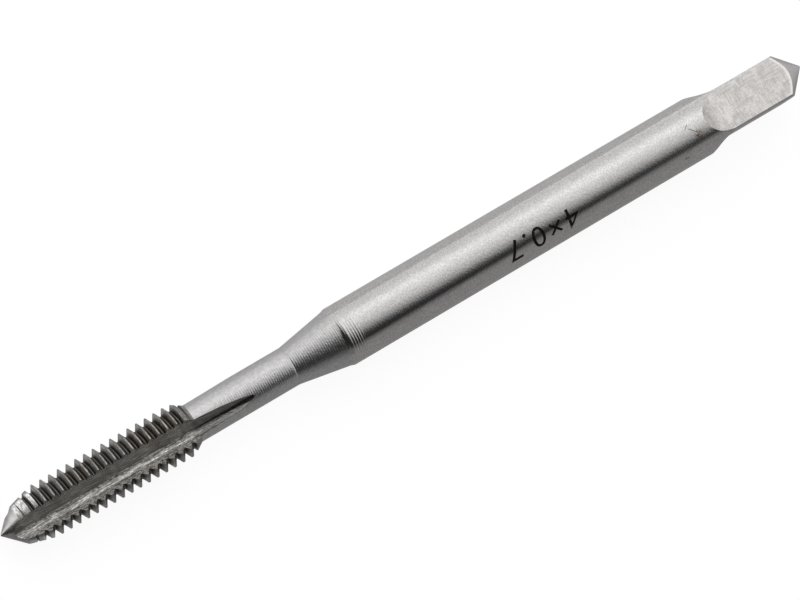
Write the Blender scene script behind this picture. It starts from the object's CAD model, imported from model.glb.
import math
from functools import partial

import bpy
from mathutils import Matrix, Vector


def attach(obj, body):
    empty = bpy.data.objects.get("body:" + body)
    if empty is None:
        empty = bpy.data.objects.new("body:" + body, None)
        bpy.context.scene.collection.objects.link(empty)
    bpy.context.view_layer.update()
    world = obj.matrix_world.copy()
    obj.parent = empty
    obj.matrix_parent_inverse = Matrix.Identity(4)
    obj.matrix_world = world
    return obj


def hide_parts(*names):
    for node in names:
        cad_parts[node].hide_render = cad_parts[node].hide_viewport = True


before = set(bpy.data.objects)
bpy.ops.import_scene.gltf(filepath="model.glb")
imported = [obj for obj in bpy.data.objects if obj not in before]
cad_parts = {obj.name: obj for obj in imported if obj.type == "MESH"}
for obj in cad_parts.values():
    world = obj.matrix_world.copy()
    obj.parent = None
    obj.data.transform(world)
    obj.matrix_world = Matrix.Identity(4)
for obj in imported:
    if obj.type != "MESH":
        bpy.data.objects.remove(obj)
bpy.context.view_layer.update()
bpy.ops.object.select_all(action="DESELECT")

# The tap lies on its shank along X, its point at -X, with one flat of the square facing up.
# Two pieces are modelled here: the whole tap, which stands for the CAD node, and the
# numerals of its thread size on the shank.

MM = 0.001

# ---- sizes of the tap, the same as in the part's source -----------------------------------
# places along the tap are measured from its front tip, and its cones' slopes from its axis

OVERALL_LENGTH = 67.45 * MM             # from the tip of one centre to the tip of the other
CENTRE_SLOPE = math.radians(45)         # of both male centres
TIP_RADIUS = 0.06 * MM                  # of the tiny flat left on each centre
THREAD_RADIUS = 2.045 * MM              # over the full crests
PITCH = 0.7 * MM
HALF_THREAD = math.radians(30)          # half the angle between two flanks
CREST_SHARE = 0.125                     # of the pitch, taken by the flat crest
ROOT_SHARE = 0.125                      # of the pitch, taken by the flat root
GROOVE_START = 0.8 * MM                 # where the groove's coil begins, beside the point
CHAMFER_SLOPE = math.radians(16)        # of the cutting chamfer
POINT_RELIEF = 0.09 * MM                # point's base below the thread's root
FULL_THREAD_END = 14.45 * MM            # last full crest
THREAD_END_SLOPE = math.radians(32)     # of the chamfer behind the thread
NECK_RELIEF = 0.125 * MM                # neck below the thread's root
NECK_END = 23.43 * MM                   # where the taper to the shank begins
TAPER_SLOPE = math.radians(10)
SHOULDER_STEP = 0.11 * MM               # radial height of the shank's small front chamfer
SHOULDER_SLOPE = math.radians(19)       # of that chamfer
SHANK_RADIUS = 2.25 * MM
FLAT_HEIGHT = 1.66 * MM                 # of the flats above the axis
FLATS = 4
SQUARE_LENGTH = 6.3 * MM                # of the flats at full depth, up to the back centre
SQUARE_RAMP_SLOPE = math.radians(25)    # of the ramp where the milling cutter runs out
FLUTES = 3
FLUTE_TURN = math.radians(2.5)          # of the first flute, away from the flat facing up
HEEL_EDGE = math.radians(-14.6)         # the flute's heel at the crest, from its outward line
CUTTING_EDGE = math.radians(46.5)       # the flute's cutting edge at the crest, likewise
RAKE = math.radians(10)                 # of the cutting face, from the radius at its edge
FLUTE_FLOOR = 0.62 * MM                 # lowest point of the flute, above the axis
FLUTE_FLOOR_RADIUS = 0.45 * MM          # of the rounded floor, tangent to the cutting face
HEEL_WALL_SLOPE = math.radians(40)      # where the heel wall leaves the rounded floor
FLUTE_FULL_END = 12.0 * MM              # where the grinding wheel begins to rise out
FLUTE_WHEEL_RADIUS = 44.0 * MM

# sizes that follow from those above
FLANK_WIDTH = PITCH * (1 - CREST_SHARE - ROOT_SHARE) / 2
ROOT_RADIUS = THREAD_RADIUS - FLANK_WIDTH / math.tan(HALF_THREAD)
POINT_RADIUS = ROOT_RADIUS - POINT_RELIEF
POINT_LENGTH = (POINT_RADIUS - TIP_RADIUS) / math.tan(CENTRE_SLOPE)
CHAMFER_END = POINT_LENGTH + (THREAD_RADIUS - POINT_RADIUS) / math.tan(CHAMFER_SLOPE)
NECK_RADIUS = ROOT_RADIUS - NECK_RELIEF
THREAD_END = FULL_THREAD_END + (THREAD_RADIUS - NECK_RADIUS) / math.tan(THREAD_END_SLOPE)
TAPER_RADIUS = SHANK_RADIUS - SHOULDER_STEP
TAPER_END = NECK_END + (TAPER_RADIUS - NECK_RADIUS) / math.tan(TAPER_SLOPE)
SHANK_START = TAPER_END + SHOULDER_STEP / math.tan(SHOULDER_SLOPE)
SHANK_END = OVERALL_LENGTH - (SHANK_RADIUS - TIP_RADIUS) / math.tan(CENTRE_SLOPE)
FLAT_END = OVERALL_LENGTH - (FLAT_HEIGHT - TIP_RADIUS) / math.tan(CENTRE_SLOPE)
FLAT_START = FLAT_END - SQUARE_LENGTH
AXIS_CENTRE = Vector((0, 0, SHANK_RADIUS))
FRONT_TIP = -OVERALL_LENGTH / 2

# ---- sizes of the mesh --------------------------------------------------------------------

RAMP_BLEND = 0.8 * MM           # reach of the curve between a ramp and its flat
SLAB_WIDTH = 3.2 * MM           # of each flat's cutter: past the flat, short of the next slab
ABOVE_CREST = 0.7 * MM          # how far the flutes' cutter stands clear of the crests
PAST_END = THREAD_RADIUS        # how far the flats' cutter runs on past the back tip
ROUND_STEPS = 180               # facets round the tap and in each turn of the thread
FLOOR_STEPS = 24                # facets across a flute's rounded floor
WALL_STEPS = 16                 # facets across a heel wall
RUN_OUT_STEPS = 40              # facets along the wheel's run-out
BLEND_STEPS = 6                 # facets across a ramp's curve
WELD = 0.0001 * MM              # vertices closer than this are one
WELD_CUTS = 0.0005 * MM         # the same where two forms leave nearly the same vertex
NEAR = 0.001 * MM               # a middle this near to a place counts as there

# ---- finishes -----------------------------------------------------------------------------
# All of it is high-speed steel, and the finishes differ in how the steel was worked. Sizes in
# the patterns are in millimetres. Real grinding and milling marks are too fine to show, where
# a pixel covers 0.07 mm, so each of these patterns is drawn as coarse as it needs to show.

SMOOTH = {"interpolation_type": "SMOOTHSTEP"}
MULTIPLY = {"operation": "MULTIPLY"}
COLOURS = {"data_type": "RGBA"}


def hex_to_linear(code):
    """Turns an sRGB hex colour into linear red, green, blue and alpha."""
    values = [int(code[i:i + 2], 16) / 255 for i in (0, 2, 4)]
    return [v / 12.92 if v <= 0.04045 else ((v + 0.055) / 1.055) ** 2.4 for v in values] + [1]


def add_node(tree, kind, settings=None, sockets=None):
    """Adds one node; each socket gets a value, or is linked to an output or a node's first."""
    node = tree.nodes.new("ShaderNode" + kind)
    for name, value in (settings or {}).items():
        setattr(node, name, value)
    for name, value in (sockets or {}).items():
        if isinstance(value, bpy.types.Node):
            value = next(output for output in value.outputs if output.enabled)
        if isinstance(value, bpy.types.NodeSocket):
            tree.links.new(value, node.inputs[name])
        else:
            node.inputs[name].default_value = value
    return node


def where_all(tree, first, *others):
    """Several masks or levels multiplied: high only where each of them is."""
    for other in others:
        first = add_node(tree, "Math", MULTIPLY, {0: first, 1: other})
    return first


class Steel:
    """One steel finish, with patterns laid out in millimetres from the front tip."""

    def __init__(self, name):
        self.material = bpy.data.materials.new(name)
        self.material.use_nodes = True
        self.tree = self.material.node_tree
        self.add = partial(add_node, self.tree)
        self.shader = self.tree.nodes["Principled BSDF"]
        self.shader.inputs["Metallic"].default_value = 1
        self.bumps = {}
        from_tip = {
            "Vector": self.add("TexCoord").outputs["Object"],
            "Location": (-FRONT_TIP / MM, 0, -SHANK_RADIUS / MM),
            "Scale": (1 / MM,) * 3,
        }
        self.place = self.add("Mapping", {}, from_tip)
        parts = self.add("SeparateXYZ", {}, {0: self.place})
        self.along, self.across, self.height = parts.outputs

    def zone(self, start, end, soft):
        """1 between two distances from the tip, with soft borders."""
        rise = self.add("MapRange", SMOOTH, {0: self.along, 1: start - soft, 2: start + soft})
        fall = self.add("MapRange", SMOOTH, {0: self.along, 1: end + soft, 2: end - soft})
        return where_all(self.tree, rise, fall)

    def turn(self, low):
        """Angle from the top towards the near side, repeated for each flute from low up."""
        sockets = {0: self.add("Math", MULTIPLY, {0: self.across, 1: -1}), 1: self.height}
        angle = self.add("Math", {"operation": "ARCTAN2"}, sockets)
        span = {0: angle, 1: low + 2 * math.pi / FLUTES, 2: low}
        return self.add("Math", {"operation": "WRAP"}, span)

    def radius(self):
        """Distance from the tap's axis."""
        sideways = {0: self.across, 1: self.height}
        flat = self.add("CombineXYZ", {}, sideways)
        length = self.add("VectorMath", {"operation": "LENGTH"}, {0: flat})
        return length.outputs["Value"]

    def grain(self, along, across, spread=0.15, detail=3.0):
        """Grains of a size along and across the tap; a small spread gives hard edges."""
        sizes = (1 / along, 1 / across, 1 / across)
        scaled = self.add("Mapping", {}, {"Vector": self.place, "Scale": sizes})
        noise = self.add("TexNoise", {}, {"Vector": scaled, "Scale": 1, "Detail": detail})
        stretch = {0: noise.outputs["Fac"], 1: 0.5 - spread, 2: 0.5 + spread}
        return self.add("MapRange", SMOOTH, stretch)

    def rings(self, pitch):
        """Turning rings round the tap, 0 in each valley and 1 on each top."""
        turns = self.add("Math", MULTIPLY, {0: self.along, 1: 2 * math.pi / pitch})
        wave = self.add("Math", {"operation": "SINE"}, {0: turns})
        return self.add("MapRange", SMOOTH, {0: wave, 1: -1, 2: 1})

    def scratch(self, start, end, width):
        """A thin line on top of the tap between two places (along, across)."""
        run, rise = end[0] - start[0], end[1] - start[1]
        length = math.hypot(run, rise)
        at_start = {
            "Vector": self.place,
            "Location": (*start, 0),
            "Rotation": (0, 0, math.atan2(rise, run)),
        }
        local = self.add("Mapping", {"vector_type": "TEXTURE"}, at_start)
        parts = self.add("SeparateXYZ", {}, {0: local}).outputs
        aside = self.add("Math", {"operation": "ABSOLUTE"}, {0: parts["Y"]})
        return where_all(
            self.tree,
            self.add("MapRange", SMOOTH, {0: parts["X"], 1: 0, 2: width}),
            self.add("MapRange", SMOOTH, {0: parts["X"], 1: length, 2: length - width}),
            self.add("MapRange", SMOOTH, {0: aside, 1: width, 2: width / 3}),
            self.add("MapRange", SMOOTH, {0: self.height, 1: 0, 2: 0.5}),
        )

    def colour(self, pattern, dark, light):
        """Colours the steel dark where the pattern is 0 and light where it is 1."""
        sockets = {0: pattern, 6: hex_to_linear(dark), 7: hex_to_linear(light)}
        self.base = self.add("Mix", COLOURS, sockets)
        self.tree.links.new(self.base.outputs[2], self.shader.inputs["Base Color"])

    def stain(self, pattern, code, strength):
        """Lays a second colour over the first where the pattern is high."""
        amount = self.add("Math", MULTIPLY, {0: pattern, 1: strength})
        sockets = {0: amount, 6: self.base, 7: hex_to_linear(code)}
        self.base = self.add("Mix", COLOURS, sockets)
        self.tree.links.new(self.base.outputs[2], self.shader.inputs["Base Color"])

    def roughen(self, pattern, first, last):
        """Runs the roughness from first, where the pattern is 0, to last, where it is 1."""
        node = self.add("MapRange", {}, {0: pattern, 3: first, 4: last})
        self.tree.links.new(node.outputs[0], self.shader.inputs["Roughness"])

    def relief(self, pattern, depth):
        """Raises the surface where the pattern is high, or sinks it if the depth is negative."""
        sockets = {"Height": pattern, "Distance": depth * MM, "Strength": 1, **self.bumps}
        self.bumps = {"Normal": self.add("Bump", {}, sockets)}
        normal = self.bumps["Normal"].outputs["Normal"]
        self.tree.links.new(normal, self.shader.inputs["Normal"])


def point_steel():
    """Ground to a point while it turned: a smooth satin cone with very faint rings."""
    steel = Steel("ground_point_steel")
    rings = steel.grain(0.06, 2.0)
    steel.colour(steel.grain(0.3, 0.3), "b6b5b3", "c6c5c3")
    steel.roughen(rings, 0.2, 0.25)
    steel.relief(rings, 0.0002)
    return steel.material


# turns round the axis are counted up from these, so that they run on over each land or flute
OVER_LANDS = math.radians(-100)
OVER_FLUTES = math.radians(-20)
# on each land of the chamfer: the turn from which it dulls, to which, and how much
LAND_BORDERS = (
    (math.radians(-28), math.radians(-17), 0.6),    # towards the heel
    (math.radians(-52), math.radians(-64), 0.8),    # towards the cutting edge
)


def chamfer_steel():
    """The freshly ground cutting chamfer: bright speckled satin, duller at its lands' borders."""
    steel = Steel("ground_chamfer_steel")
    # the grinding sparkle is drawn coarser than the real one
    speckle = steel.grain(0.13, 0.3, 0.1)
    steel.colour(speckle, "bfbdbb", "efedeb")
    steel.roughen(speckle, 0.34, 0.24)
    steel.relief(speckle, 0.003)
    steel.stain(steel.grain(0.4, 0.25, 0.1), "979592", 0.3)
    turn = steel.turn(OVER_LANDS)
    for start, end, strength in LAND_BORDERS:
        border = steel.add("MapRange", SMOOTH, {0: turn, 1: start, 2: end})
        steel.stain(border, "73716e", strength)
    return steel.material


def crest_steel():
    """The thread's ground crests: narrow grey satin bands, a little smoother than the flanks."""
    steel = Steel("ground_crest_steel")
    speckle = steel.grain(0.08, 0.25)
    steel.colour(speckle, "797774", "a3a19e")
    steel.roughen(speckle, 0.36, 0.26)
    steel.relief(speckle, 0.002)
    return steel.material


BLACK_ROOTS = (0.3, 0.06)   # height above the roots where the black begins, and is full
# where oil dried in the thread: start and end along it, and how brown
OILED_ZONES = ((10.6, 14.4, 0.65), (5.4, 6.8, 0.4))
OIL_DEPTH = (2.0, 1.8)      # distance from the axis where the oil begins, and is full


def flank_steel():
    """The ground flanks: dull grey, black at the roots, with brown dried oil in some."""
    steel = Steel("ground_flank_steel")
    # the wheel's lines run round the thread, and are drawn wider than real ones
    lines = steel.grain(0.05, 0.5)
    blotch = steel.grain(0.3, 0.25)
    steel.colour(lines, "8b8986", "b5b3b0")
    steel.roughen(blotch, 0.28, 0.4)
    steel.relief(lines, 0.003)
    steel.relief(steel.grain(0.1, 0.1), 0.002)
    root = ROOT_RADIUS / MM
    to_root = {0: steel.radius(), 1: root + BLACK_ROOTS[0], 2: root + BLACK_ROOTS[1]}
    steel.stain(steel.add("MapRange", SMOOTH, to_root), "2b2928", 0.8)
    into_groove = {0: steel.radius(), 1: OIL_DEPTH[0], 2: OIL_DEPTH[1]}
    in_groove = steel.add("MapRange", SMOOTH, into_groove)
    for start, end, strength in OILED_ZONES:
        oiled = where_all(steel.tree, steel.zone(start, end, 0.4), in_groove, blotch)
        steel.stain(oiled, "5c4b33", strength)
    return steel.material


LATHE_FEED = 0.171          # between the tool rings of the neck and taper
RINGS_RISE = (14.0, 17.5)   # where the neck's tool rings begin to show, and are full
TOOL_STOP = (0.14, 0.02)    # start and end of the tool's small groove, ahead of the taper


def neck_steel():
    """The turned neck and taper: satin steel with even tool rings 0.17 mm apart."""
    steel = Steel("turned_neck_steel")
    mottle = steel.grain(0.25, 0.2, 0.2)
    dimples = steel.grain(0.12, 0.14, 0.25)
    steel.colour(mottle, "b6b4b4", "c4c3c3")
    steel.roughen(mottle, 0.31, 0.25)
    ringed = steel.add("MapRange", SMOOTH, {0: steel.along, 1: RINGS_RISE[0], 2: RINGS_RISE[1]})
    steel.relief(where_all(steel.tree, steel.rings(LATHE_FEED), ringed, dimples), 0.0085)
    steel.relief(steel.grain(0.06, 0.1), 0.0012)
    neck_end = NECK_END / MM
    steel.relief(steel.zone(neck_end - TOOL_STOP[0], neck_end - TOOL_STOP[1], 0.04), -0.02)
    return steel.material


SHOULDER_RINGS = (27.3, 28.6)       # start and end of the rings left at the shank's front
SHOULDER_FEED = 0.2                 # between those rings
STAIN_PLACE = (57.4, -0.6, 2.17)    # middle of the oil stain: along, across, above the axis
STAIN_REACH = (0.5, 0.12)           # distance from there where it begins, and is full
SHANK_SCRATCHES = (                 # start and end (along, across), and width
    ((56.6, 0.15), (56.95, 0.42), 0.04),
    ((56.85, 0.1), (57.5, -0.62), 0.032),
    ((55.7, -1.62), (56.15, -1.7), 0.04),
)


def shank_steel():
    """The ground shank: satin steel with short wheel marks, an oil stain and a few scratches."""
    steel = Steel("ground_shank_steel")
    # the wheel's marks are drawn coarser than real ones
    marks = steel.grain(0.08, 0.17, 0.17)
    steel.colour(marks, "b5b3b2", "cecccb")
    steel.roughen(marks, 0.18, 0.12)
    at_front = steel.rings(SHOULDER_FEED), steel.zone(*SHOULDER_RINGS, 0.2)
    steel.relief(where_all(steel.tree, *at_front), 0.009)
    steel.relief(marks, 0.0018)
    steel.relief(steel.grain(0.5, 0.35, 0.2, 1.0), 0.0015)
    steel.stain(steel.grain(0.9, 0.4, 0.25), "aeabab", 0.3)
    from_stain = {0: steel.place, 1: STAIN_PLACE}
    spot = steel.add("VectorMath", {"operation": "DISTANCE"}, from_stain)
    to_stain = {0: spot.outputs["Value"], 1: STAIN_REACH[0], 2: STAIN_REACH[1]}
    near = steel.add("MapRange", SMOOTH, to_stain)
    steel.stain(where_all(steel.tree, near, steel.grain(0.15, 0.15)), "7d5c3d", 0.9)
    for start, end, width in SHANK_SCRATCHES:
        line = steel.scratch(start, end, width)
        steel.stain(line, "3c3634", 0.7)
        steel.relief(line, -0.006)
    return steel.material


def centre_steel():
    """The ground back centre, with the square's corners: an even grey, darker than the flats."""
    steel = Steel("ground_centre_steel")
    speckle = steel.grain(0.1, 0.1)
    steel.colour(speckle, "9b999a", "aaa7a8")
    steel.roughen(speckle, 0.32, 0.24)
    steel.relief(speckle, 0.001)
    return steel.material


def face_steel():
    """The rough-ground cutting faces: a coarse broken sparkle of bright and grey."""
    steel = Steel("ground_cutting_face_steel")
    # the sparkle is drawn coarser than the wheel's real grit
    speckle = steel.grain(0.24, 0.13, 0.08, 4.0)
    steel.colour(speckle, "9b9995", "fdfbf7")
    steel.roughen(speckle, 0.56, 0.44)
    steel.relief(speckle, 0.009)
    return steel.material


BURNT_START = (14.6, 15.8)                              # along the flute, from faint to full
BURNT_BORDER = (math.radians(34), math.radians(30))     # the black band ends at this turn


def floor_steel():
    """The flutes' rounded floors: rough and streaked along the tap, burnt black in the neck."""
    steel = Steel("ground_flute_steel")
    # streaks and pits are drawn wider than real ones
    streaks = steel.grain(1.1, 0.055, 0.1)
    pits = steel.grain(0.25, 0.13, 0.07)
    steel.colour(streaks, "a09e9a", "fbf9f5")
    steel.roughen(pits, 0.4, 0.3)
    steel.relief(streaks, 0.007)
    steel.relief(pits, 0.008)
    steel.stain(pits, "4f4d4a", 0.55)
    burnt = steel.add("MapRange", SMOOTH, {0: steel.along, 1: BURNT_START[0], 2: BURNT_START[1]})
    steel.stain(burnt, "82807d", 0.8)
    turn = steel.turn(OVER_FLUTES)
    deep = steel.add("MapRange", SMOOTH, {0: turn, 1: BURNT_BORDER[0], 2: BURNT_BORDER[1]})
    steel.stain(where_all(steel.tree, burnt, deep), "3c3a39", 1.0)
    return steel.material


def heel_steel():
    """The flutes' ground heel walls: smooth dark steel with fine lines along the tap."""
    steel = Steel("ground_heel_steel")
    # the lines are drawn wider than real ones
    lines = steel.grain(1.0, 0.05, 0.12)
    steel.colour(lines, "6c6a68", "93918d")
    steel.roughen(lines, 0.32, 0.25)
    steel.relief(lines, 0.003)
    steel.relief(steel.grain(0.12, 0.12), 0.001)
    steel.stain(steel.grain(1.5, 0.3, 0.2), "605f5d", 0.5)
    return steel.material


WORN_RIM = (0.28, 0.1)      # distance from the centre's cone where wear begins, and is full


def flat_steel():
    """The milled flats of the square: pale mottled satin, crossed scratches, a worn end rim."""
    steel = Steel("milled_flat_steel")
    # the scratches are drawn wider than real ones
    lengthways = steel.grain(1.2, 0.06, 0.08, 1.0)
    crossways = steel.grain(0.06, 1.0, 0.08, 1.0)
    steel.colour(steel.grain(0.16, 0.12, 0.15), "cfcbc9", "dfdddb")
    steel.roughen(lengthways, 0.36, 0.3)
    steel.relief(lengthways, 0.0022)
    steel.relief(crossways, 0.0022)
    for scratches, size in ((lengthways, (0.9, 0.7)), (crossways, (0.7, 0.9))):
        patches = steel.grain(*size, 0.08, 1.0)
        steel.stain(where_all(steel.tree, scratches, patches), "a9a5a3", 0.5)
    # on the centre's cone, place along the tap and distance from its axis add up to this
    cone = (OVERALL_LENGTH + TIP_RADIUS) / MM
    to_cone = steel.add("Math", {"operation": "ADD"}, {0: steel.along, 1: steel.radius()})
    rim = {0: to_cone, 1: cone - WORN_RIM[0], 2: cone - WORN_RIM[1]}
    steel.stain(steel.add("MapRange", SMOOTH, rim), "efebe8", 0.8)
    return steel.material


def mark_steel():
    """Laser-annealed size numerals: a thin near-black oxide film, slightly matt."""
    steel = Steel("laser_annealed_steel")
    speckle = steel.grain(0.08, 0.08, 0.2)
    steel.colour(speckle, "1b1816", "3a3532")
    steel.roughen(speckle, 0.5, 0.38)
    steel.relief(speckle, 0.002)
    return steel.material


FINISHES = {
    "point": point_steel(),
    "chamfer": chamfer_steel(),
    "crest": crest_steel(),
    "flank": flank_steel(),
    "neck": neck_steel(),
    "shank": shank_steel(),
    "centre": centre_steel(),
    "face": face_steel(),
    "floor": floor_steel(),
    "heel": heel_steel(),
    "flat": flat_steel(),
}


def finish_faces(piece, choose):
    """Gives each face the finish that choose names from its middle."""
    names = list(FINISHES)
    piece.data.materials.clear()
    for name in names:
        piece.data.materials.append(FINISHES[name])
    for face in piece.data.polygons:
        face.material_index = names.index(choose(face.center))


# ---- modelling helpers --------------------------------------------------------------------

SELECT_MODES = {"vertices": "VERT", "edges": "EDGE", "polygons": "FACE"}


def edit(piece):
    """Opens one piece alone in edit mode."""
    if bpy.context.object:
        bpy.ops.object.mode_set(mode="OBJECT")
    bpy.ops.object.select_all(action="DESELECT")
    piece.select_set(True)
    bpy.context.view_layer.objects.active = piece
    bpy.ops.object.mode_set(mode="EDIT")


def select_where(piece, kind, wanted):
    """In edit mode, selects only the vertices, edges or faces whose middle is wanted."""
    bpy.ops.mesh.select_mode(type=SELECT_MODES[kind])
    bpy.ops.mesh.select_all(action="DESELECT")
    bpy.ops.object.mode_set(mode="OBJECT")
    corners = piece.data.vertices
    for element in getattr(piece.data, kind):
        if kind == "vertices":
            middle = element.co
        else:
            ends = [corners[i].co for i in element.vertices]
            middle = sum(ends, Vector()) / len(ends)
        element.select = wanted(middle)
    bpy.ops.object.mode_set(mode="EDIT")


def close_edit(piece):
    """Welds the open piece, turns its faces outwards and goes back to object mode."""
    bpy.ops.mesh.select_all(action="SELECT")
    bpy.ops.mesh.remove_doubles(threshold=WELD)
    bpy.ops.mesh.normals_make_consistent(inside=False)
    bpy.ops.object.mode_set(mode="OBJECT")


def place(piece, name):
    """Names a finished piece and puts its place into its mesh."""
    piece.name = name
    piece.data.name = name
    bpy.ops.object.select_all(action="DESELECT")
    piece.select_set(True)
    bpy.context.view_layer.objects.active = piece
    bpy.ops.object.transform_apply(location=True, rotation=True, scale=True)


def repeat_round(times):
    """In edit mode, copies all of the mesh round the tap's axis in equal turns."""
    bpy.ops.mesh.select_all(action="SELECT")
    for _ in range(times - 1):
        bpy.ops.mesh.duplicate()
        bpy.ops.transform.rotate(
            value=2 * math.pi / times, orient_axis="X", center_override=AXIS_CENTRE
        )


def cut(piece, cutter):
    """Takes the cutter's form out of the piece; cut faces keep the cutter's finish."""
    bpy.ops.object.select_all(action="DESELECT")
    bpy.context.view_layer.objects.active = piece
    piece.select_set(True)
    modifier = piece.modifiers.new("cut", "BOOLEAN")
    modifier.object = cutter
    modifier.operation = "DIFFERENCE"
    modifier.solver = "EXACT"
    modifier.material_mode = "TRANSFER"
    bpy.ops.object.modifier_apply(modifier=modifier.name)
    bpy.data.objects.remove(cutter, do_unlink=True)


# ---- the blank ----------------------------------------------------------------------------


def turn_blank():
    """The turned blank: one disc at the front tip, drawn out ring by ring along the axis."""
    rings = (
        (0, TIP_RADIUS),
        (POINT_LENGTH, POINT_RADIUS),
        (CHAMFER_END, THREAD_RADIUS),
        (FULL_THREAD_END, THREAD_RADIUS),
        (THREAD_END, NECK_RADIUS),
        (NECK_END, NECK_RADIUS),
        (TAPER_END, TAPER_RADIUS),
        (SHANK_START, SHANK_RADIUS),
        (SHANK_END, SHANK_RADIUS),
        (OVERALL_LENGTH, TIP_RADIUS),
    )
    finish_ends = (
        (POINT_LENGTH, "point"),
        (CHAMFER_END, "chamfer"),
        (THREAD_END, "crest"),
        (TAPER_END, "neck"),
        (SHANK_END, "shank"),      # with its small front chamfer, ground in one go
        (OVERALL_LENGTH, "centre"),
    )
    bpy.ops.mesh.primitive_circle_add(
        vertices=ROUND_STEPS,
        radius=TIP_RADIUS,
        fill_type="NGON",
        location=(FRONT_TIP, 0, SHANK_RADIUS),
        rotation=(0, math.pi / 2, 0),
    )
    blank = bpy.context.object
    place(blank, "tap")
    edit(blank)
    bpy.ops.mesh.select_all(action="SELECT")
    for (start, radius), (end, next_radius) in zip(rings, rings[1:]):
        bpy.ops.mesh.extrude_region_move(TRANSFORM_OT_translate={"value": (end - start, 0, 0)})
        bpy.ops.transform.resize(
            value=(1, next_radius / radius, next_radius / radius),
            center_override=(FRONT_TIP + end, 0, SHANK_RADIUS),
        )
    close_edit(blank)

    def finish_at(middle):
        from_tip = middle.x - FRONT_TIP
        return next(finish for end, finish in finish_ends if from_tip <= end + NEAR)

    finish_faces(blank, finish_at)
    return blank


# ---- the thread groove --------------------------------------------------------------------


def make_groove():
    """The thread's groove as a solid coil: one section wound along the axis and capped."""
    root_width = PITCH * ROOT_SHARE
    # the section ends above the crests, but before its turns would touch each other
    rim = THREAD_RADIUS + PITCH * CREST_SHARE / 4
    rim_width = root_width + 2 * (rim - ROOT_RADIUS) * math.tan(HALF_THREAD)
    turns = math.ceil((THREAD_END - GROOVE_START) / PITCH) + 1
    bpy.ops.mesh.primitive_plane_add(size=1, rotation=(math.pi / 2, 0, 0))
    groove = bpy.context.object
    groove.scale = (root_width, rim - ROOT_RADIUS, 1)
    place(groove, "groove")
    edit(groove)
    bpy.ops.mesh.select_all(action="SELECT")
    bpy.ops.transform.translate(value=(0, 0, -(rim + ROOT_RADIUS) / 2))
    select_where(groove, "vertices", lambda middle: middle.z < -(rim + ROOT_RADIUS) / 2)
    bpy.ops.transform.resize(value=(rim_width / root_width, 1, 1), center_override=(0, 0, -rim))
    bpy.ops.object.mode_set(mode="OBJECT")
    screw = groove.modifiers.new("wind", "SCREW")
    screw.axis = "X"
    screw.angle = 2 * math.pi
    screw.screw_offset = PITCH
    screw.iterations = turns
    screw.steps = screw.render_steps = ROUND_STEPS
    screw.use_normal_calculate = True
    bpy.ops.object.modifier_apply(modifier=screw.name)
    groove.location = (FRONT_TIP + GROOVE_START, 0, SHANK_RADIUS)
    place(groove, "groove")
    edit(groove)
    bpy.ops.mesh.select_all(action="SELECT")
    bpy.ops.mesh.fill_holes(sides=0)
    close_edit(groove)
    finish_faces(groove, lambda middle: "flank")
    return groove


# ---- the flutes ---------------------------------------------------------------------------

FLUTE_OUTWARD = Vector((0, -math.sin(FLUTE_TURN), math.cos(FLUTE_TURN)))
FLUTE_SIDEWAYS = Vector((0, -math.cos(FLUTE_TURN), -math.sin(FLUTE_TURN)))
FLUTE_ORIGIN = Vector((FRONT_TIP + FLUTE_FULL_END, 0, SHANK_RADIUS))


def lean(angle):
    """Unit vector in the flute's section, leaning from its outward line by an angle."""
    return FLUTE_SIDEWAYS * math.sin(angle) + FLUTE_OUTWARD * math.cos(angle)


def spin_to(start, end, centre, steps):
    """Draws the selected vertex out along an arc from start to end, square to the axis."""
    arm, end_arm = start - centre, end - centre
    turn = arm.angle(end_arm) * math.copysign(1, end_arm.cross(arm).x)
    bpy.ops.mesh.spin(steps=steps, angle=turn, center=centre, axis=(1, 0, 0))


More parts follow.
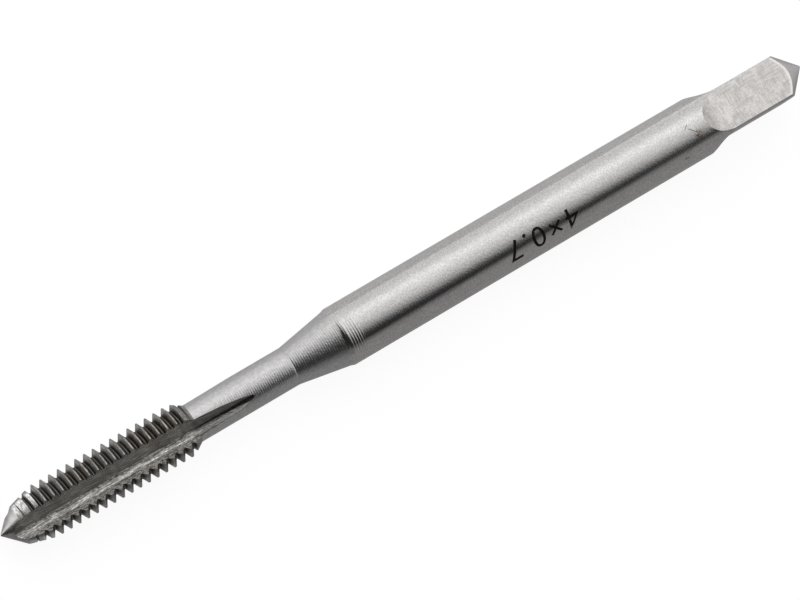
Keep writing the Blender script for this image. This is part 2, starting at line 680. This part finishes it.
def make_flutes():
    """Three flutes: cutting face, rounded floor and heel wall, with the wheel's run-out."""
    heel_point = FLUTE_ORIGIN + lean(HEEL_EDGE) * THREAD_RADIUS
    edge_point = FLUTE_ORIGIN + lean(CUTTING_EDGE) * THREAD_RADIUS
    # the floor's circle touches the cutting face's line, and its lowest point is the flute's
    face_lean = CUTTING_EDGE - RAKE
    face_line = lean(face_lean)
    above_floor = edge_point + lean(face_lean - math.pi / 2) * FLUTE_FLOOR_RADIUS
    drop = (above_floor - FLUTE_ORIGIN).dot(FLUTE_OUTWARD) - (FLUTE_FLOOR + FLUTE_FLOOR_RADIUS)
    face_length = drop / math.cos(face_lean)
    face_foot = edge_point - face_line * face_length
    floor_centre = above_floor - face_line * face_length
    wall_point = floor_centre - lean(HEEL_WALL_SLOPE) * FLUTE_FLOOR_RADIUS
    # the heel wall is an arc that leaves the floor in its own direction and ends at the heel
    chord = heel_point - wall_point
    wall_normal = lean(HEEL_WALL_SLOPE)
    wall_centre = wall_point + wall_normal * chord.length_squared / (2 * chord.dot(wall_normal))
    heel_line = (heel_point - wall_centre).cross(Vector((1, 0, 0))).normalized()
    heel_line *= math.copysign(1, heel_line.dot(chord))
    bpy.ops.mesh.primitive_plane_add(size=MM, location=edge_point + face_line * ABOVE_CREST)
    flutes = bpy.context.object
    place(flutes, "flutes")
    edit(flutes)
    bpy.ops.mesh.select_all(action="SELECT")
    bpy.ops.mesh.merge(type="CENTER")
    bpy.ops.mesh.select_mode(type="VERT")
    bpy.ops.mesh.extrude_region_move(
        TRANSFORM_OT_translate={"value": -face_line * (ABOVE_CREST + face_length)}
    )
    spin_to(face_foot, wall_point, floor_centre, FLOOR_STEPS)
    spin_to(wall_point, heel_point, wall_centre, WALL_STEPS)
    bpy.ops.mesh.extrude_region_move(TRANSFORM_OT_translate={"value": heel_line * ABOVE_CREST})
    bpy.ops.mesh.select_all(action="SELECT")
    bpy.ops.mesh.edge_face_add()
    bpy.ops.mesh.extrude_region_move(
        TRANSFORM_OT_translate={"value": (-FLUTE_FULL_END - ABOVE_CREST, 0, 0)}
    )
    # the section at the flute's full end is swung up with the wheel until it is clear
    select_where(flutes, "polygons", lambda middle: abs(middle.x - FLUTE_ORIGIN.x) < NEAR)
    wheel_centre = FLUTE_ORIGIN + FLUTE_OUTWARD * (FLUTE_FLOOR + FLUTE_WHEEL_RADIUS)
    rise = math.hypot(NECK_RADIUS, ABOVE_CREST) - FLUTE_FLOOR
    run_out = math.acos(1 - rise / FLUTE_WHEEL_RADIUS)
    bpy.ops.mesh.spin(
        steps=RUN_OUT_STEPS, angle=-run_out, center=wheel_centre, axis=FLUTE_SIDEWAYS
    )
    bpy.ops.object.mode_set(mode="OBJECT")
    heel_side = (wall_point - AXIS_CENTRE).dot(FLUTE_SIDEWAYS)
    face_side = (face_foot - AXIS_CENTRE).dot(FLUTE_SIDEWAYS)

    def part_of_flute(middle):
        side = (middle - AXIS_CENTRE).dot(FLUTE_SIDEWAYS)
        return "heel" if side < heel_side else "floor" if side < face_side else "face"

    finish_faces(flutes, part_of_flute)
    edit(flutes)
    repeat_round(FLUTES)
    close_edit(flutes)
    return flutes


# ---- the square ---------------------------------------------------------------------------


def make_flats():
    """Four milled flats, each a slab with the ramp where the cutter runs out."""
    rise = SHANK_RADIUS
    length = OVERALL_LENGTH + PAST_END - FLAT_START
    bpy.ops.mesh.primitive_cube_add(size=1)
    flats = bpy.context.object
    flats.scale = (length, SLAB_WIDTH, rise)
    flats.location = (
        FRONT_TIP + FLAT_START + length / 2,
        0,
        SHANK_RADIUS + FLAT_HEIGHT + rise / 2,
    )
    place(flats, "flats")
    edit(flats)
    front_top = Vector((FRONT_TIP + FLAT_START, 0, SHANK_RADIUS + FLAT_HEIGHT + rise))
    select_where(flats, "edges", lambda middle: (middle - front_top).length < NEAR)
    bpy.ops.transform.translate(value=(-rise / math.tan(SQUARE_RAMP_SLOPE), 0, 0))
    front_foot = Vector((FRONT_TIP + FLAT_START, 0, SHANK_RADIUS + FLAT_HEIGHT))
    select_where(flats, "edges", lambda middle: (middle - front_foot).length < NEAR)
    bpy.ops.mesh.bevel(offset=RAMP_BLEND, offset_type="OFFSET", segments=BLEND_STEPS)
    repeat_round(FLATS)
    close_edit(flats)
    finish_faces(flats, lambda middle: "flat")
    return flats


# ---- the size mark ------------------------------------------------------------------------

MARK_SIZE = 2.3 * MM                # of the type, a little taller than its numerals
MARK_SPACING = 1.15                 # of the numerals, where 1 is the type's own
MARK_FILM = 0.003 * MM              # how far the film stands above and below the shank
MARK_STRIPS = 12                    # bands that the flat type is split into, to bend it
MARK_MIDDLE = 43.7 * MM             # from the front tip
MARK_BASELINE = math.radians(11)    # turn of the numerals' foot, towards the near side


def mark_size():
    """Lays the thread's size on the shank in laser numerals, head towards the near side."""
    bpy.ops.object.text_add(location=(0, 0, 0))
    mark = bpy.context.object
    mark.data.body = "4\u00d70.7"
    mark.data.size = MARK_SIZE
    mark.data.space_character = MARK_SPACING
    mark.data.align_x = "CENTER"
    mark.data.extrude = MARK_FILM
    bpy.ops.object.convert(target="MESH")
    edit(mark)
    bpy.ops.mesh.select_all(action="SELECT")
    bpy.ops.mesh.remove_doubles(threshold=WELD_CUTS)
    for number in range(1, MARK_STRIPS):
        height = MARK_SIZE * number / MARK_STRIPS
        bpy.ops.mesh.select_all(action="SELECT")
        bpy.ops.mesh.bisect(plane_co=(0, height, 0), plane_no=(0, 1, 0))
    close_edit(mark)
    for vertex in mark.data.vertices:
        along, up, out = vertex.co
        angle = MARK_BASELINE + up / SHANK_RADIUS
        radius = SHANK_RADIUS + out
        vertex.co = (
            FRONT_TIP + MARK_MIDDLE - along,
            -radius * math.sin(angle),
            SHANK_RADIUS + radius * math.cos(angle),
        )
    place(mark, "size_mark")
    mark.data.materials.clear()
    mark.data.materials.append(mark_steel())
    return mark


# ---- build --------------------------------------------------------------------------------

SHARP_ANGLE = math.radians(7)       # edges sharper than this stay crisp in the shading

tap = turn_blank()
cut(tap, make_flutes())
cut(tap, make_flats())
cut(tap, make_groove())
place(tap, "tap")
edit(tap)
bpy.ops.mesh.select_all(action="SELECT")
bpy.ops.mesh.remove_doubles(threshold=WELD_CUTS)
bpy.ops.mesh.dissolve_degenerate(threshold=WELD_CUTS)
close_edit(tap)
bpy.ops.object.shade_smooth_by_angle(angle=SHARP_ANGLE)
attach(tap, "root")
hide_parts("thread_tap")

mark = mark_size()
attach(mark, "root")

# ---- camera -------------------------------------------------------------------------------

AIM_FROM_TIP = 32.72 * MM           # where the view's middle falls along the axis
AIM_ASIDE = 0.074 * MM              # and how far beside it
AXIS_TILT = math.radians(14.70)     # of the axis, its back end away from the camera
VIEW_TURN = math.radians(2.5)       # of the camera round the axis, from straight above
AXIS_RISE = math.radians(30.42)     # of the axis in the picture
CAMERA_DISTANCE = 278.6 * MM
FOCAL_PIXELS = 3959.0               # focal length, in pixels of the picture
PICTURE_WIDTH = 800                 # in pixels
SENSOR_WIDTH = 36                   # in millimetres, as the focal length is then
CLIP_START = 0.01                   # in metres


def make_camera():
    """Looks down at the tap, which runs up to the right with its point at the lower left."""
    aside = Vector((0, -math.sin(VIEW_TURN), math.cos(VIEW_TURN)))
    back = (Vector((-math.sin(AXIS_TILT), 0, 0)) + aside * math.cos(AXIS_TILT)).normalized()
    along = (Vector((1, 0, 0)) - back * back.x).normalized()
    across = back.cross(along)
    right = along * math.cos(AXIS_RISE) - across * math.sin(AXIS_RISE)
    up = along * math.sin(AXIS_RISE) + across * math.cos(AXIS_RISE)
    aim = Vector((FRONT_TIP + AIM_FROM_TIP, 0, SHANK_RADIUS)) + across * AIM_ASIDE
    data = bpy.data.cameras.new("camera")
    data.sensor_width = SENSOR_WIDTH
    data.lens = FOCAL_PIXELS * SENSOR_WIDTH / PICTURE_WIDTH
    data.clip_start = CLIP_START
    camera = bpy.data.objects.new("camera", data)
    bpy.context.collection.objects.link(camera)
    pose = Matrix((right, up, back)).transposed().to_4x4()
    pose.translation = aim + back * CAMERA_DISTANCE
    camera.matrix_world = pose
    bpy.context.scene.camera = camera


# ---- floor --------------------------------------------------------------------------------

FLOOR_WIDTH = 4.0                       # in metres
SEEN_WHITE = 1.15                       # glow where the floor is seen: it reads as white
GLOW_SHARE = 0.8                        # of the glow; the rest is lit, and keeps the shadow
FLOOR_LEVELS = (0.34, 0.78)             # what the steel mirrors of it, in front and behind
FLOOR_CHANGE = (-4 * MM, 9.5 * MM)      # across the tap, from where to where that changes
# patches at the tap's ends and past them: where each starts and is full along the tap, the
# same across it, and its change of level
FLOOR_PATCHES = (
    ((-22 * MM, -31 * MM), (3 * MM, 11 * MM), 0.7),
    ((34 * MM, 41 * MM), (-30 * MM, -10 * MM), 0.7),
    ((-31 * MM, -34 * MM), (1 * MM, -3 * MM), -0.16),
)


def lay_floor():
    """A pale sweep, white where it is seen; what the steel mirrors of it fades to the front."""
    bpy.ops.mesh.primitive_plane_add(size=FLOOR_WIDTH, location=(0, 0, 0))
    floor = bpy.context.object
    floor.name = "floor"
    material = bpy.data.materials.new("pale_sweep")
    material.use_nodes = True
    tree = material.node_tree
    paint = tree.nodes["Principled BSDF"]
    paint.inputs["Base Color"].default_value = hex_to_linear("e6e6e6")
    paint.inputs["Roughness"].default_value = 0.9
    spot = add_node(tree, "TexCoord").outputs["Object"]
    parts = add_node(tree, "SeparateXYZ", {}, {0: spot}).outputs
    front_to_back = {0: parts["Y"], **dict(enumerate(FLOOR_CHANGE + FLOOR_LEVELS, 1))}
    mirrored = add_node(tree, "MapRange", SMOOTH, front_to_back)
    for (start, end), (near, far), change in FLOOR_PATCHES:
        along = {0: parts["X"], 1: start, 2: end, 4: change}
        past_end = add_node(tree, "MapRange", SMOOTH, along)
        past_side = add_node(tree, "MapRange", SMOOTH, {0: parts["Y"], 1: near, 2: far})
        patch = {0: past_end, 1: past_side, 2: mirrored}
        mirrored = add_node(tree, "Math", {"operation": "MULTIPLY_ADD"}, patch)
    rays = add_node(tree, "LightPath").outputs
    seen = rays["Is Camera Ray"]
    for kind in ("Is Glossy Ray", "Is Transmission Ray"):
        seen = add_node(tree, "Math", {"operation": "MAXIMUM"}, {0: seen, 1: rays[kind]})
    levels = {0: rays["Is Camera Ray"], 2: mirrored, 3: SEEN_WHITE}
    level = add_node(tree, "Mix", {"data_type": "FLOAT"}, levels)
    glow = add_node(tree, "Emission", {}, {"Color": (1, 1, 1, 1), "Strength": level})
    share = add_node(tree, "Math", MULTIPLY, {0: seen, 1: GLOW_SHARE})
    mix = add_node(tree, "MixShader", {}, {0: share, 1: paint, 2: glow})
    tree.links.new(mix.outputs[0], tree.nodes["Material Output"].inputs["Surface"])
    floor.data.materials.append(material)


# ---- light --------------------------------------------------------------------------------
# the light comes from the world: its level depends on the direction, and it is seen white

BOX_DIRECTION = (0.737, 0.676, 0)       # the side on which the soft box is brightest
# the soft box: cosine of the angle from that side, and level there
BOX_LEVELS = (
    (-0.24, 0.03),
    (-0.14, 0.22),
    (-0.06, 0.5),
    (0.1, 0.8),
    (0.2, 1.02),
    (0.35, 1.15),
    (0.55, 1.5),
)
# the most that the box gives, and what the grey front gives, by height of the direction
BOX_LEVELS_UP = ((0, 0.98), (0.3, 1.04), (0.5, 1.15), (0.72, 1.5))
FRONT_LEVELS_UP = ((0, 0.34), (0.2, 0.34), (0.3, 0.3), (0.44, 0.16), (0.55, 0.02))
# how each light fades: along which part of the direction, from where to where, and its levels
STUDIO_FADES = {
    "box at far end": ("X", 0.45, 0.85, 1.0, 0.65),
    "front side": ("Y", -0.25, -0.5, 0.0, 1.0),
    "front at tip": ("X", -0.1, 0.25, 0.72, 1.0),
    "card low": ("Z", 0.5, 0.1, 0.0, 1.3),
    "card side": ("Y", 0.2, 0.45, 0.0, 1.0),
    "card end": ("X", -0.4, -0.7, 0.0, 1.0),
}


def level_along(tree, value, low, high, stops):
    """Light that takes each stop's level in turn as a value runs from low to high."""
    run = add_node(tree, "MapRange", {}, {0: value, 1: low, 2: high})
    node = add_node(tree, "ValToRGB", {}, {"Fac": run})
    band = node.color_ramp
    band.elements.remove(band.elements[-1])
    for number, (at, level) in enumerate(stops):
        share = (at - low) / (high - low)
        element = band.elements[0] if number == 0 else band.elements.new(share)
        element.position = share
        element.color = [level] * 3 + [1]
    return node


def light_studio():
    """A soft box behind and above, a dark gap, a grey front, and a low card past the tip."""
    world = bpy.data.worlds.new("soft_studio")
    bpy.context.scene.world = world
    world.use_nodes = True
    tree = world.node_tree
    direction = add_node(tree, "TexCoord").outputs["Generated"]
    parts = add_node(tree, "SeparateXYZ", {}, {0: direction}).outputs
    from_box = {0: direction, 1: BOX_DIRECTION}
    toward = add_node(tree, "VectorMath", {"operation": "DOT_PRODUCT"}, from_box)
    box = level_along(tree, toward.outputs["Value"], -1, 1, BOX_LEVELS)
    low = level_along(tree, parts["Z"], 0, 1, BOX_LEVELS_UP)
    box = add_node(tree, "Math", {"operation": "MINIMUM"}, {0: box, 1: low})
    front = level_along(tree, parts["Z"], 0, 1, FRONT_LEVELS_UP)
    fades = {}
    for name, (part, *span) in STUDIO_FADES.items():
        sockets = {0: parts[part], **dict(enumerate(span, 1))}
        fades[name] = add_node(tree, "MapRange", SMOOTH, sockets)
    studio = where_all(tree, box, fades["box at far end"])
    front = where_all(tree, front, fades["front side"], fades["front at tip"])
    card = where_all(tree, fades["card low"], fades["card side"], fades["card end"])
    for other in (front, card):
        studio = add_node(tree, "Math", {"operation": "MAXIMUM"}, {0: studio, 1: other})
    camera = add_node(tree, "LightPath").outputs["Is Camera Ray"]
    level = add_node(tree, "Mix", {"data_type": "FLOAT"}, {0: camera, 2: studio, 3: 1.0})
    background = tree.nodes["Background"]
    background.inputs["Color"].default_value = (1, 1, 1, 1)
    tree.links.new(level.outputs[0], background.inputs["Strength"])


make_camera()
lay_floor()
light_studio()
bpy.context.scene.view_settings.view_transform = "Standard"
